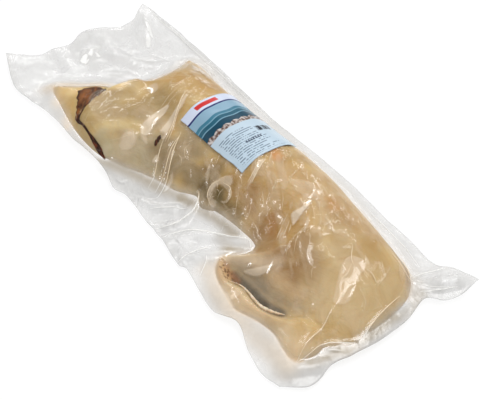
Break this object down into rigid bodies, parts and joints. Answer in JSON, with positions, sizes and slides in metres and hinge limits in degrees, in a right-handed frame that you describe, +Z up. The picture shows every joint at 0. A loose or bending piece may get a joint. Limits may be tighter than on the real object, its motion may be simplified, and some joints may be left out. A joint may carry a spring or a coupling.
{
  "type": "vacuum-packed lutefisk",
  "caption": "Whole piece of soaked white fish, folded over at one end, sealed in a clear film bag with a paper label on its back; it lies flat on its underside.",
  "frame": {"origin": "middle of the bag's box seen from above, on the surface it lies on", "axes": "+X along the bag, from the empty film at the far end to the folded end of the fish; +Y across it, away from the folded flap; +Z up"},
  "size_m": [0.661, 0.248, 0.0611],
  "materials": {
    "film": "clear glossy film drawn tight over pale beige fish",
    "label_paper": "printed paper label, satin"
  },
  "bodies": {
    "root": {"bag": "film", "label": "label_paper"}
  },
  "joints": []
}
